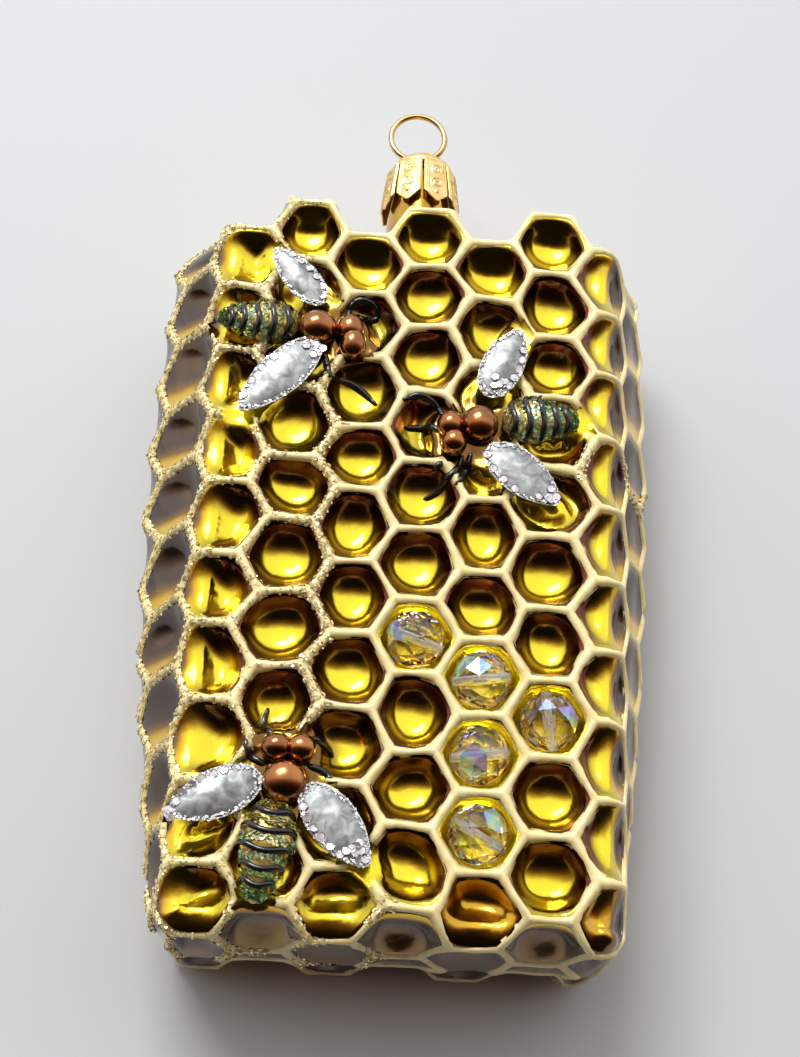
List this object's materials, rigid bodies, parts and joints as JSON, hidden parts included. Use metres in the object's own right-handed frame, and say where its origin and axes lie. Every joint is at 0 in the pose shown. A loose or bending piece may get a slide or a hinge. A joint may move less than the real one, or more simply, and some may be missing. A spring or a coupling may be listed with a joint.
{
  "type": "glass honeycomb ornament with bees",
  "caption": "Hanging ornament of blown glass, shaped as a slab of honeycomb with bees in relief and cut-glass beads in some cells, with a metal cap and a wire ring.",
  "frame": {"origin": "middle of the base of the whole object as it lies on its back", "axes": "+Z out of the honeycomb's front with the bees, +Y towards the cap and ring, +X to the viewer's right"},
  "size_m": [0.0718, 0.1334, 0.0338],
  "materials": {
    "amber_glass": "silvered inside, amber lacquer outside, cream enamel lines on the cell rims",
    "clear_crystal": "clear cut glass with a faint rainbow coating",
    "stamped_gold": "bright gold, stamped with scrolls and beading",
    "ring_wire": "plain drawn wire, gold coloured"
  },
  "bodies": {
    "root": {"glass_body": "amber_glass", "crystal_1": "clear_crystal", "crystal_2": "clear_crystal", "crystal_3": "clear_crystal", "crystal_4": "clear_crystal", "crystal_5": "clear_crystal", "cap": "stamped_gold", "ring": "ring_wire"}
  },
  "joints": []
}
